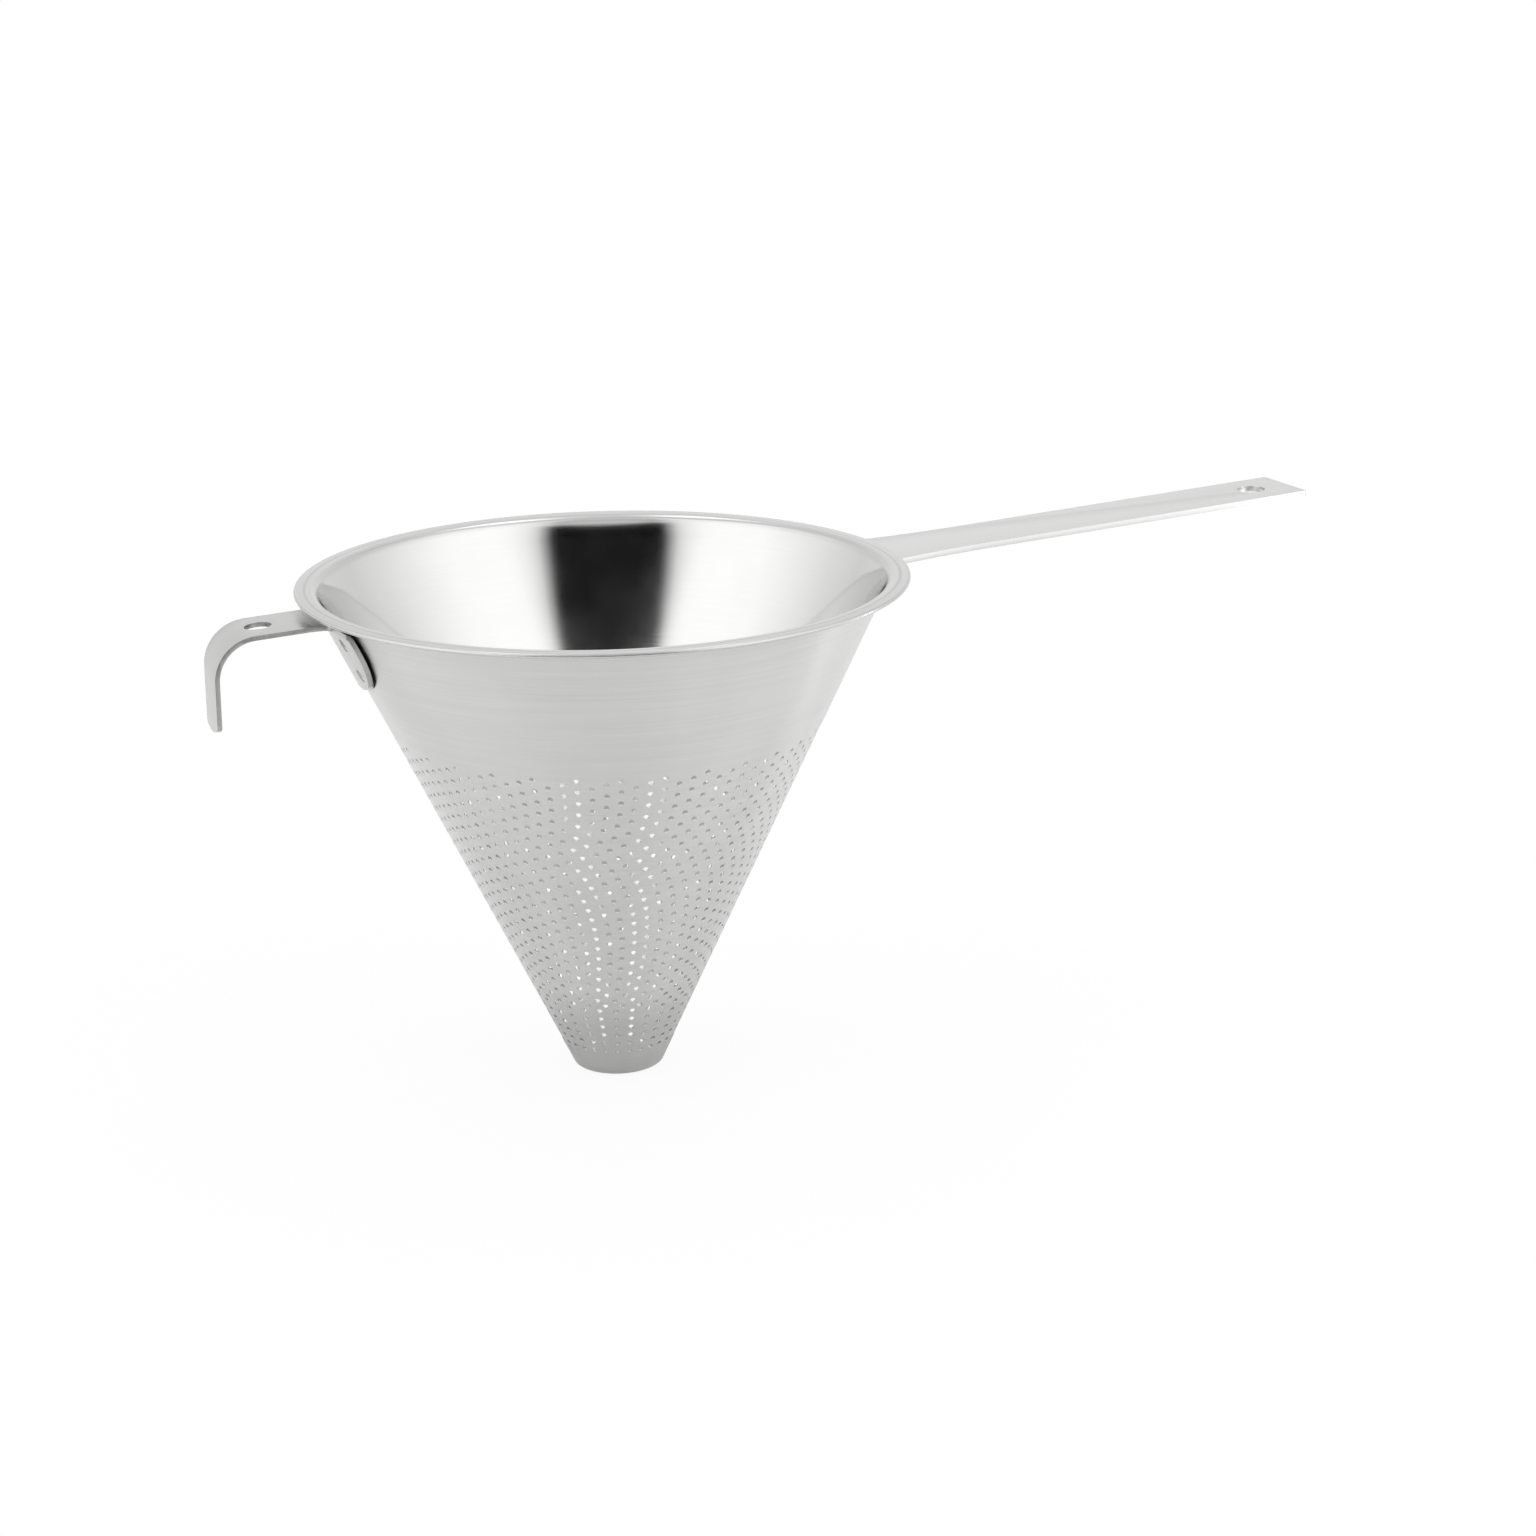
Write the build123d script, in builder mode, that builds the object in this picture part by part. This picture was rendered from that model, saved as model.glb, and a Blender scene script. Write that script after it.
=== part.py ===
from build123d import *
from math import asin, atan, cos, degrees, radians, sin, sqrt, tan
import os

# Chinois strainer: a perforated cone of thin sheet with a folded rim, a flat strap
# for a handle and a hook opposite it, both spot welded to the outside of the wall.
# Millimetres. The origin is the middle of the tip's flat underside, +Z goes up
# through the mouth and +X runs out along the handle. Depths are below the rim's top.

# Cone
rim_dia = 200.0
height = 170.0
tip_dia = 30.2            # where the wall's outside would meet the tip's underside
flange_width = 6.3        # from the wall's outside, carried up to the rim's top, to the edge
cone_sheet = 0.7
cone_bend = 1.2           # to the middle of the sheet, at the tip and at the mouth
hem_width = 4.0           # the edge that is folded under the flange
hem_gap = 0.1             # air left inside the closed fold

# Perforation
hole_dia = 1.5
holes_per_row = 32
rows = 52                 # the rows that step round the cone
first_row_depth = 48.3
top_row_step = 1.395      # down the axis, between the upper rows
low_row_step = 2.41       # the same between the lower rows
first_row_turn = 5.5      # degrees from the handle
top_stagger_share = 0.331 # how far a row is turned from the one above, of the hole pitch
low_stagger_share = 0.585
row_growth_power = 1.5    # how late the steps and the turns grow down the cone
tip_rows = 6              # the rows round the tip, with their holes in line
tip_row_depth = 141.9
tip_row_step = 3.5
tip_row_turn = 1.7        # degrees from the handle
hole_skip = 2             # only every second hole of a row is cut, of all those on the real cone
row_skip = 3              # only every third row is cut

# Handle strap
handle_sheet = 2.0
handle_width = 27.2
handle_past_rim = 161.5   # from the rim's edge to the strap's end
handle_rise_past_rim = 2.0
handle_rise_angle = 2.6
handle_rise_bend = 60.0
handle_root_bend = 3.0    # to the middle of the sheet
handle_flare_past_rim = 35.0
handle_flare_radius = 240.0
handle_end_corner = 1.0
hanging_hole_dia = 9.8
hanging_hole_inset = 14.5 # from the end to the hole's middle
handle_tab_width = 44.0
handle_tab_depth = 29.0
handle_tab_belly = 40.0   # radius of the tab's lower edge
handle_tab_round = 16.0   # radius where that edge meets the sides
handle_tab_corner = 4.0

# Rest hook
hook_sheet = 1.5
hook_width = 24.2
hook_off_line = 4.5       # degrees that the hook stands off the handle's line
hook_depth = 5.3          # the strap's top face
hook_tilt_past_rim = -2.0
hook_tilt_angle = 3.5
hook_tilt_bend = 30.0
hook_past_rim = 28.85     # from the rim's edge to the leg's outer face, at the strap's level
hook_bend = 13.6          # to the middle of the sheet
hook_root_bend = 2.2      # the same
hook_root_fillet = 3.0
hook_leg_lean = 1.1       # degrees that the leg leans outwards
hook_leg_depth = 39.3
hook_leg_belly = 40.0     # radius of the leg's lower edge
hook_leg_belly_off = 5.0  # from the strap's middle to the lowest place of that edge
hook_leg_corner = 2.0
hook_hole_dia = 8.7
hook_hole_past_rim = 13.0
hook_tab_width = 52.0
hook_tab_depth = 29.0
hook_tab_belly = 42.0
hook_tab_round = 17.0
hook_tab_corner = 4.0
hook_tab_flatness = 22.0  # how far the tab's centre of curvature lies behind the cone's axis

# Spot welds
seat_gap = 0.1            # between two faces that lie on each other
weld_dia = 4.0
weld_fit = 0.02           # clearance round a weld's fused metal in its two sheets
weld_bite_share = 0.5     # how far a weld goes into each sheet
dimple_dia = 4.6
dimple_depth = 0.2
handle_weld_side = 14.0   # from the strap's middle
handle_weld_depths = (10.5, 21.0)
hook_weld_side = 16.0
hook_weld_depths = (10.4, 20.7)

over = 5.0                # how far a cutter runs past what it cuts

# Derived sizes of the cone
rim_r = rim_dia / 2
tip_r = tip_dia / 2
mouth_r = rim_r - flange_width
slope = (mouth_r - tip_r) / height
wall_angle = degrees(atan(slope))
lean = cos(radians(wall_angle))
hem_thickness = 2 * cone_sheet + hem_gap
hole_pitch = 360 / holes_per_row
square_to_wall = Location((0, 0, 0), (0, 90 + wall_angle, 0))

# Derived places along the two straps, from the cone's axis
handle_end = rim_r + handle_past_rim
handle_rise_start = rim_r + handle_rise_past_rim
handle_flare_start = rim_r + handle_flare_past_rim
hook_leg_face = rim_r + hook_past_rim
hook_tilt_start = rim_r + hook_tilt_past_rim
hook_hole_place = rim_r + hook_hole_past_rim


def wall_r(depth):
    """Radius of the wall's outside at a depth."""
    return mouth_r - depth * slope


def row_of_holes(depth, turn):
    """Places of the cut holes round one row, each square to the wall."""
    ring = PolarLocations(wall_r(depth), holes_per_row, start_angle=turn)
    return [Location((0, 0, height - depth)) * place * square_to_wall for place in ring][::hole_skip]


def cut_holes():
    """Places of the cut holes: rows that step round the cone, then those of the tip."""
    places = []
    depth = first_row_depth
    turn = first_row_turn
    for row in range(rows):
        if row % row_skip == 0:
            places += row_of_holes(depth, turn)
        growth = (row / (rows - 1)) ** row_growth_power
        depth += top_row_step + (low_row_step - top_row_step) * growth
        stagger = top_stagger_share + (low_stagger_share - top_stagger_share) * growth
        turn -= stagger * hole_pitch
    for row in range(0, tip_rows, row_skip):
        places += row_of_holes(tip_row_depth + row * tip_row_step, tip_row_turn)
    return places


def weld_places(towards, back, side, depths):
    """Places on a tab's inner face: the tab's radius is that of the wall and back."""
    places = []
    for depth in depths:
        radius = wall_r(depth) + seat_gap / lean + back
        for turn in (-degrees(asin(side / radius)), degrees(asin(side / radius))):
            level = Location((0, 0, 0), (0, 0, towards)) * Location((-back, 0, height - depth))
            out = Location((0, 0, 0), (0, 0, turn)) * Location((radius, 0, 0))
            places.append(level * out * square_to_wall)
    return places


def stand_off(back, side, depth):
    """Gap between the wall and the tab's inner face, square to them."""
    wall = wall_r(depth)
    tab = wall + back
    return (sqrt(tab ** 2 - side ** 2) - back - sqrt(wall ** 2 - side ** 2)) * lean + seat_gap


def tab_line(sheet, depth):
    """Distance from the axis to the middle of a tab's sheet at a depth."""
    return wall_r(depth) + (seat_gap + sheet / 2) / lean


handle_welds_at = weld_places(0, 0, handle_weld_side, handle_weld_depths)
hook_towards = 180 - hook_off_line
hook_welds_at = weld_places(hook_towards, hook_tab_flatness, hook_weld_side, hook_weld_depths)
wall_bite = cone_sheet * weld_bite_share
handle_bite = handle_sheet * weld_bite_share
hook_bite = hook_sheet * weld_bite_share
handle_reach = seat_gap + wall_bite
hook_reach = stand_off(hook_tab_flatness, hook_weld_side, hook_weld_depths[0]) + wall_bite

# Spot welds: the fused metal between each tab and the wall, one disc at each weld
with BuildPart() as handle_spot_welds:
    with Locations(*[place * Location((0, 0, -handle_reach)) for place in handle_welds_at]):
        Cylinder(weld_dia / 2, handle_reach + handle_bite, align=(Align.CENTER, Align.CENTER, Align.MIN))

with BuildPart() as hook_spot_welds:
    with Locations(*[place * Location((0, 0, -hook_reach)) for place in hook_welds_at]):
        Cylinder(weld_dia / 2, hook_reach + hook_bite, align=(Align.CENTER, Align.CENTER, Align.MIN))

# The pockets that the welds fill, with their clearance
handle_pocket = handle_reach + handle_bite + 2 * weld_fit
hook_pocket = hook_reach + hook_bite + 2 * weld_fit
handle_pockets_at = [place * Location((0, 0, -handle_reach - weld_fit)) for place in handle_welds_at]
hook_pockets_at = [place * Location((0, 0, -hook_reach - weld_fit)) for place in hook_welds_at]
pocket_r = weld_dia / 2 + weld_fit

# Cone: one drawn and perforated sheet, with its edge folded under the flange
with BuildPart() as strainer_cone:
    with BuildSketch(Plane.XZ):
        with BuildLine():
            middle = cone_sheet / 2
            inset = middle / lean
            fold = (hem_gap + cone_sheet) / 2
            low = (tip_r - inset + middle * slope, middle)
            high = (mouth_r - inset - middle * slope, height - middle)
            edge = (rim_r - fold - middle, height - middle)
            FilletPolyline((0, middle), low, high, edge, radius=cone_bend)
            CenterArc((edge[0], edge[1] - fold), fold, 90, -180)
            Line((edge[0], edge[1] - 2 * fold), (rim_r - hem_width, edge[1] - 2 * fold))
        trace(line_width=cone_sheet)
    revolve(axis=Axis.Z)
    with Locations(*handle_pockets_at):
        Cylinder(pocket_r, handle_pocket, align=(Align.CENTER, Align.CENTER, Align.MIN), mode=Mode.SUBTRACT)
    with Locations(*hook_pockets_at):
        Cylinder(pocket_r, hook_pocket, align=(Align.CENTER, Align.CENTER, Align.MIN), mode=Mode.SUBTRACT)
    with Locations(*cut_holes()):
        Cylinder(radius=hole_dia / 2, height=over, mode=Mode.SUBTRACT)


def side_plane(towards):
    """Upright plane through the axis, with its X out towards a piece."""
    turn = radians(towards)
    return Plane(origin=(0, 0, 0), x_dir=(cos(turn), sin(turn), 0), z_dir=(sin(turn), -cos(turn), 0))


def plan_plane(towards):
    """Level plane through the origin, with its X out towards a piece."""
    turn = radians(towards)
    return Plane(origin=(0, 0, 0), x_dir=(cos(turn), sin(turn), 0), z_dir=(0, 0, 1))


def front_plane(towards):
    """Upright plane across a piece, with its Y up, that extrudes out towards it."""
    turn = radians(towards)
    return Plane(origin=(0, 0, 0), x_dir=(-sin(turn), cos(turn), 0), z_dir=(cos(turn), sin(turn), 0))


def root_path(sheet, face_depth, tab_depth, bend, rise_start):
    """Middle line of a root's sheet: up the wall, round the bend and out, level."""
    middle_depth = face_depth + sheet / 2
    foot = (tab_line(sheet, tab_depth + over), height - tab_depth - over)
    corner = (tab_line(sheet, middle_depth), height - middle_depth)
    out = (rise_start, height - middle_depth)
    return foot, corner, out


# Handle: the strap, and the tab at its root that is bent down along the wall
handle_face = hem_thickness + seat_gap
handle_middle = height - handle_face - handle_sheet / 2
handle_foot, handle_corner, handle_out = root_path(
    handle_sheet, handle_face, handle_tab_depth, handle_root_bend, handle_rise_start)
handle_level = handle_corner[0] + handle_root_bend
handle_rise = tan(radians(handle_rise_angle))
handle_far = handle_end + over
handle_shoulder = handle_corner[0] + handle_sheet / 2

with BuildPart() as handle_strap:
    with BuildSketch(side_plane(0)):
        with BuildLine():
            FilletPolyline(handle_foot, handle_corner, handle_out, radius=handle_root_bend)
        trace(line_width=handle_sheet)
    revolve(axis=Axis.Z)
    with BuildSketch(front_plane(0)) as handle_tab_outline:
        with BuildLine():
            side = handle_tab_width / 2
            bottom = height - handle_tab_depth
            sag = handle_tab_belly - sqrt(handle_tab_belly ** 2 - side ** 2)
            FilletPolyline((-side, bottom + sag), (-side, height + over), (side, height + over),
                           (side, bottom + sag), radius=handle_tab_corner + over)
            ThreePointArc((side, bottom + sag), (0, bottom), (-side, bottom + sag))
        make_face()
        fillet(handle_tab_outline.vertices().group_by(Axis.Y)[0], handle_tab_round)
    extrude(amount=rim_r + over, mode=Mode.INTERSECT)
    with BuildSketch(side_plane(0)):
        with BuildLine():
            FilletPolyline((handle_level, handle_middle), (handle_rise_start, handle_middle),
                           (handle_far, handle_middle + (handle_far - handle_rise_start) * handle_rise),
                           radius=handle_rise_bend)
        trace(line_width=handle_sheet)
    extrude(amount=handle_tab_width / 2, both=True)
    with BuildSketch(plan_plane(0)) as handle_plan:
        Circle(handle_shoulder)
        with BuildLine():
            half = handle_width / 2
            swing = degrees(asin((handle_flare_start - mouth_r + over) / handle_flare_radius))
            flare = CenterArc((handle_flare_start, half + handle_flare_radius), handle_flare_radius,
                              270 - swing, swing)
            Polyline(flare @ 1, (handle_end, half), (handle_end, 0), (0, 0), (0, (flare @ 0).Y), flare @ 0)
        make_face()
        mirror(about=Plane.XZ)
        fillet(handle_plan.vertices().group_by(Axis.X)[-1], handle_end_corner)
    extrude(amount=height + handle_far, mode=Mode.INTERSECT)
    hole_place = handle_end - hanging_hole_inset
    hole_level = handle_middle + (hole_place - handle_rise_start) * handle_rise
    hanging_hole = Location((hole_place, 0, hole_level), (0, -handle_rise_angle, 0))
    with Locations(hanging_hole):
        Cylinder(hanging_hole_dia / 2, handle_sheet + over, mode=Mode.SUBTRACT)
    with Locations(*handle_pockets_at):
        Cylinder(pocket_r, handle_pocket, align=(Align.CENTER, Align.CENTER, Align.MIN), mode=Mode.SUBTRACT)
    with Locations(*[place * Location((0, 0, handle_sheet - dimple_depth)) for place in handle_welds_at]):
        Cylinder(dimple_dia / 2, over, align=(Align.CENTER, Align.CENTER, Align.MIN), mode=Mode.SUBTRACT)

# Hook: the strap that is bent down at its end, and the wide tab at its root
hook_middle = height - hook_depth - hook_sheet / 2
hook_foot, hook_corner, hook_out = root_path(
    hook_sheet, hook_depth, hook_tab_depth, hook_root_bend, hook_tilt_start)
hook_level = hook_corner[0] + hook_root_bend
hook_fall = tan(radians(hook_tilt_angle))
hook_leg_out = tan(radians(hook_leg_lean))
hook_leg = hook_leg_face - hook_sheet / 2
hook_knee = hook_middle - (hook_leg - hook_tilt_start) * hook_fall
hook_low = height - hook_leg_depth
hook_shoulder = hook_corner[0] + hook_sheet / 2
hook_turn = radians(hook_towards)
hook_axis = Axis((-hook_tab_flatness * cos(hook_turn), -hook_tab_flatness * sin(hook_turn), 0), (0, 0, 1))

with BuildPart() as rest_hook:
    with BuildSketch(side_plane(hook_towards)):
        with BuildLine():
            FilletPolyline(hook_foot, hook_corner, hook_out, radius=hook_root_bend)
        trace(line_width=hook_sheet)
    revolve(axis=hook_axis)
    with BuildSketch(front_plane(hook_towards)) as hook_tab_outline:
        with BuildLine():
            side = hook_tab_width / 2
            bottom = height - hook_tab_depth
            top = height - hook_depth + over
            sag = hook_tab_belly - sqrt(hook_tab_belly ** 2 - side ** 2)
            FilletPolyline((-side, bottom + sag), (-side, top), (side, top), (side, bottom + sag),
                           radius=hook_tab_corner + over)
            ThreePointArc((side, bottom + sag), (0, bottom), (-side, bottom + sag))
        make_face()
        fillet(hook_tab_outline.vertices().group_by(Axis.Y)[0], hook_tab_round)
    extrude(amount=rim_r + over, mode=Mode.INTERSECT)
    with BuildSketch(side_plane(hook_towards)):
        with BuildLine():
            FilletPolyline((hook_level, hook_middle), (hook_tilt_start, hook_middle),
                           (hook_leg, hook_knee),
                           (hook_leg + (hook_knee - hook_low + over) * hook_leg_out, hook_low - over),
                           radius=[hook_tilt_bend, hook_bend])
        trace(line_width=hook_sheet)
    extrude(amount=hook_tab_width / 2, both=True)
    with BuildSketch(plan_plane(hook_towards)) as hook_plan:
        with Locations((-hook_tab_flatness, 0)):
            Circle(hook_shoulder + hook_tab_flatness)
        with Locations(((hook_leg_face + over) / 2, 0)):
            Rectangle(hook_leg_face + over, hook_width)
        fillet(hook_plan.vertices().group_by(Axis.X)[-2], hook_root_fillet)
    extrude(amount=height, mode=Mode.INTERSECT)
    with BuildSketch(front_plane(hook_towards)):
        with BuildLine():
            side = hook_width / 2
            centre = hook_low + hook_leg_belly
            near_end = centre - sqrt(hook_leg_belly ** 2 - (side + hook_leg_belly_off) ** 2)
            far_end = centre - sqrt(hook_leg_belly ** 2 - (side - hook_leg_belly_off) ** 2)
            Polyline((side, near_end), (side + over, near_end), (side + over, hook_low - 2 * over),
                     (-side - over, hook_low - 2 * over), (-side - over, far_end), (-side, far_end))
            ThreePointArc((-side, far_end), (-hook_leg_belly_off, hook_low), (side, near_end))
        make_face()
    extrude(amount=hook_leg_face + over, mode=Mode.SUBTRACT)
    across = Axis((0, 0, 0), (cos(hook_turn), sin(hook_turn), 0))
    fillet(rest_hook.edges().filter_by(across).sort_by(Axis.Z)[:2], hook_leg_corner)
    hole_level = hook_middle - (hook_hole_place - hook_tilt_start) * hook_fall
    hook_hole = Location((hook_hole_place, 0, hole_level), (0, hook_tilt_angle, 0))
    with Locations(plan_plane(hook_towards).location * hook_hole):
        Cylinder(hook_hole_dia / 2, hook_sheet + over, mode=Mode.SUBTRACT)
    with Locations(*hook_pockets_at):
        Cylinder(pocket_r, hook_pocket, align=(Align.CENTER, Align.CENTER, Align.MIN), mode=Mode.SUBTRACT)
    with Locations(*[place * Location((0, 0, hook_sheet - dimple_depth)) for place in hook_welds_at]):
        Cylinder(dimple_dia / 2, over, align=(Align.CENTER, Align.CENTER, Align.MIN), mode=Mode.SUBTRACT)

os.makedirs("parts", exist_ok=True)
strainer_cone.part.label = "strainer_cone"
handle_strap.part.label = "handle_strap"
rest_hook.part.label = "rest_hook"
handle_spot_welds.part.label = "handle_spot_welds"
hook_spot_welds.part.label = "hook_spot_welds"
export_step(strainer_cone.part, "parts/strainer_cone.step")
export_step(handle_strap.part, "parts/handle_strap.step")
export_step(rest_hook.part, "parts/rest_hook.step")
export_step(handle_spot_welds.part, "parts/handle_spot_welds.step")
export_step(hook_spot_welds.part, "parts/hook_spot_welds.step")
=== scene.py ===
from contextlib import contextmanager
from math import atan, atan2, cos, hypot, pi, radians, sin, tan

import bpy
from bpy.props import FloatProperty, FloatVectorProperty, IntProperty, PointerProperty
from mathutils import Matrix, Quaternion, Vector
from mathutils.bvhtree import BVHTree
from mathutils.geometry import delaunay_2d_cdt


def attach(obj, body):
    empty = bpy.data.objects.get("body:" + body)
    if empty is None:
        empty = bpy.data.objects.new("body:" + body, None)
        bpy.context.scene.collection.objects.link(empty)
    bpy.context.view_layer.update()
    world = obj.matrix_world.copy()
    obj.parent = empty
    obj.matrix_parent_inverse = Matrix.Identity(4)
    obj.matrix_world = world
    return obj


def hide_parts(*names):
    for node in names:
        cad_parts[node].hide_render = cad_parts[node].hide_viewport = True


bl_info = {
    "name": "Chinois strainer",
    "version": (1, 0, 0),
    "blender": (4, 5, 0),
    "location": "View3D > Sidebar > Strainer",
    "description": "Perforated sheet, softened straps and steel for a chinois strainer",
    "category": "Object",
}

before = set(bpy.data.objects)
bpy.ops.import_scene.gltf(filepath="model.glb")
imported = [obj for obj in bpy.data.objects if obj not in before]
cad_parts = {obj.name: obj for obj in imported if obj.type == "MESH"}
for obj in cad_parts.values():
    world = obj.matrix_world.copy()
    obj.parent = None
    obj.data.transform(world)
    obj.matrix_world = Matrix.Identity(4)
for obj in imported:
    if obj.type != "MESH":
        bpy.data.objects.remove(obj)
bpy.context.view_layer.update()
BODY = "root"
FULL_SHEET = "full sheet"

# Meshes. Lengths are in metres.
SAME_PLACE = 0.00001  # points of the cone that are this close are one
SAME_CORNER = SAME_PLACE / 10  # the same in the flat blank and on a strap
WALL_REACH = 0.001  # furthest that a face of the wall lies off the line of its middle
WALL_TURN = radians(20)  # furthest that it leans off the true cone
CONE_CREASE = radians(35)  # turn from which an edge of the cone stays sharp
STRAP_CREASE = radians(30)  # the same on a strap
STRAP_CORNER = radians(50)  # turn from which an edge of a strap is softened
STRAP_FLAT = radians(0.5)  # turn up to which the faces of a strap are one
CORNER_STEPS = 3  # faces across a softened edge
SHEARED_DEPTH = 1.3  # thicknesses behind a face, past which it is a sheared edge
SHEARED_ACROSS = 0.5  # share of a face's normal across the strap, past which it is one too

# Patterns: how often a noise repeats along each axis, per metre or round the cone
TURNED_FINE = (1.5, 1.5, 2600)
TURNED_BROAD = (0.8, 0.8, 420)
TURNED_CLOUD = (3.0, 3.0, 26)
BRIGHT_FINE = (4.0, 4.0, 1500)
BRIGHT_CLOUD = (5.0, 5.0, 60)
FLANGE_RINGS = (1.5, 1.5, 2200)
STRAP_FINE = (14, 3200, 14)
STRAP_BROAD = (6, 500, 6)
STRAP_CLOUD = 24.0
SHEARED_MARKS = (900, 900, 60)
SHEARED_CLOUD = 120.0
FUSED_CLOUD = 900.0
FLOOR_CLOUD = 3.0
FINE_SHARE = 0.65  # share of the fine lines in brushing, and the rest is broad lines

# Swings: how far each pattern of a finish changes its tone and its roughness
NOISE_MIDDLE = 0.5
TURNED_TONE = (0.26, 0.12)
TURNED_ROUGH = (0.1, 0.06)
BRIGHT_TONE = (0.05, 0.05)
BRIGHT_ROUGH = (0.05,)
STRAP_TONE = (0.12, 0.05)
STRAP_ROUGH = (0.1, 0.04)
SHEARED_TONE = (0.3, 0.2)
SHEARED_ROUGH = (0.15,)
FUSED_TONE = (0.3,)
FUSED_ROUGH = (0.2,)
FLOOR_TONE = (0.01,)

# Relief: how deep the lines of a finish are, in metres
TURNED_RELIEF = 0.00001
BRIGHT_RELIEF = 0.000002
STRAP_RELIEF = 0.00001
SHEARED_RELIEF = 0.00002
FUSED_RELIEF = 0.00005
QUARTER_TURN = 0.25  # turn that draws a highlight out across the turned lines

# Painted shade and other tones on the steel. Heights and depths are in metres, and depths go down
# from the rim.
TIP_SHADE_FADE = (0.015, 0.04)  # heights between which the painted shade at the tip fades out, going up
TIP_SHADE_TONE = 0.82  # tone of the outside under them: painted shade for the floor's shadow that the outside reflects near the tip
FLANGE_FADE = (0.003, 0.0005)  # depths between which the flange's finish begins
FLANGE_SHADE = 0.27  # painted shade: how much darker the flange is drawn than the wall of the same sheet
FLANGE_SWING = 0.3  # how far its rings change its tone
FLANGE_ROUGH = 0.16  # how much rougher it is
FOLD_LINE = 0.85  # from the rim to the painted line of shade where the hem's end makes a faint step, in widths of the hem
FOLD_LINE_FADE = (0.0002, 0.0007)  # from its middle to where it fades
# How dark that painted line of shade is
FOLD_LINE_SHADE = 0.16
DIMPLE_SHADE_FADE = (0.25, 0.55)  # from a weld's middle to where its painted shade fades, in widths of that shade
# How dark the painted shade of a weld's dimple is
DIMPLE_SHADE = 0.75
LOWER_DIMPLE_SHADE = 0.5  # strength of the painted shade at the lower welds against the upper ones
TAB_FADE = 0.001  # length over which that painted shade ends at the strap's bend
CREVICE_CORE = 0.7  # share of the reach over which the painted shadow in the gap between a tab and the wall is darkest
CREVICE_FADE = (0.0095, 0.0075)  # depths between which it ends
# How dark that painted shadow is
CREVICE_SHADE = 0.8

# Room. Levels go with the degrees round from the gap's middle, or with the rise over the floor.
SOFTBOX_EDGE = (
    (0, 0.0), (25.1, 0.0), (27.6, 0.05), (31.1, 0.34),
    (34.6, 0.66), (39.6, 0.84), (46.6, 0.95), (54, 1.0))
SOFTBOX_FALL = (
    (0, 1.0), (62, 1.0), (76, 0.98), (83, 0.94), (90, 0.895), (98, 0.835),
    (106, 0.78), (114, 0.72), (123, 0.67), (135, 0.6), (155, 0.6), (180, 0.68))
HALF_TURN = 180
GAP_SQUARE = 4  # power that makes the gap's upper and lower ends straight
GAP_CORNER = 5  # power that keeps its rounding to its corners
GAP_ROUNDING = 0.35  # how far it narrows there
GAP_END = (0.8, 1.3)  # where its ends fade
GAP_FOOT = (radians(2), radians(10))  # rises between which a second gap at the floor ends
BETWEEN_GAPS = 0.6  # least level of the softboxes' edges between the two gaps and above them
CEILING_RISE = (radians(48), radians(62))  # rises between which the ceiling begins
PANEL_RISE = (radians(55), radians(59))  # the same for the two panels overhead
PANEL_NEAR = (0.14, 0.18)  # how far aside a panel begins, on a dome of radius 1
PANEL_FAR = (0.34, 0.38)  # how far aside it ends
PANEL_FRONT = (0.0, 0.1)  # how far towards the camera it ends
WHITE = (1.0, 1.0, 1.0, 1.0)
LAMP_POWER = 4  # watts of an area lamp for each square metre and each unit of brightness
NEAREST_SEEN = 0.01  # metres in front of the camera


def length(name, description, default):
    """A size in metres that a user may change."""
    return FloatProperty(
        name=name, description=description, default=default, unit="LENGTH", min=0.0)


def share(name, description, default, high=1.0):
    """A part of a whole, without a unit."""
    return FloatProperty(
        name=name, description=description, default=default, min=0.0, max=high)


def turn(name, description, degrees):
    """An angle that a user may change, given here in degrees."""
    return FloatProperty(
        name=name, description=description, default=radians(degrees), subtype="ANGLE")


def colour(name, description, default):
    """A colour that a user may change."""
    return FloatVectorProperty(
        name=name, description=description, default=default, subtype="COLOR",
        min=0.0, max=1.0, size=3)


def point(name, description, default):
    """A place in metres that a user may change."""
    return FloatVectorProperty(
        name=name, description=description, default=default, unit="LENGTH", size=3)


def count(name, description, default, low):
    """A whole number that a user may change."""
    return IntProperty(name=name, description=description, default=default, min=low)


class ConeSizes(bpy.types.PropertyGroup):
    rim_dia: length("Rim", "Outside of the folded edge", 0.2)
    height: length("Height", "From the tip's underside to the rim's top", 0.17)
    tip_dia: length("Tip", "Where the wall's outside would meet the underside", 0.0302)
    flange_width: length("Flange", "From the wall's outside to the edge", 0.0063)
    sheet: length("Sheet", "Thickness of the steel", 0.0007)
    thinned: share(
        "Thinned wall", "Thickness of the spun wall among the holes, of the sheet's", 0.5)
    tip_bend: length("Tip bend", "Radius of the sheet's middle round the tip", 0.0012)
    mouth_bend: length(
        "Mouth bend", "Radius of the sheet's middle between the wall and the flange", 0.0028)
    flare: length(
        "Flare", "Height over which the wall begins to lean out, under the mouth's bend", 0.006)
    flare_turn: turn("Flare turn", "How much further the wall leans out at the rim", 4.5)
    hem_width: length("Hem", "Width of the edge that is folded under", 0.004)
    hem_gap: length("Hem gap", "Air inside the closed fold", 0.0001)
    facets: count("Facets", "Steps round the cone for each hole of a row", 6, 1)
    bend_steps: count("Bend steps", "Steps round each bend of the sheet", 7, 2)


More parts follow.
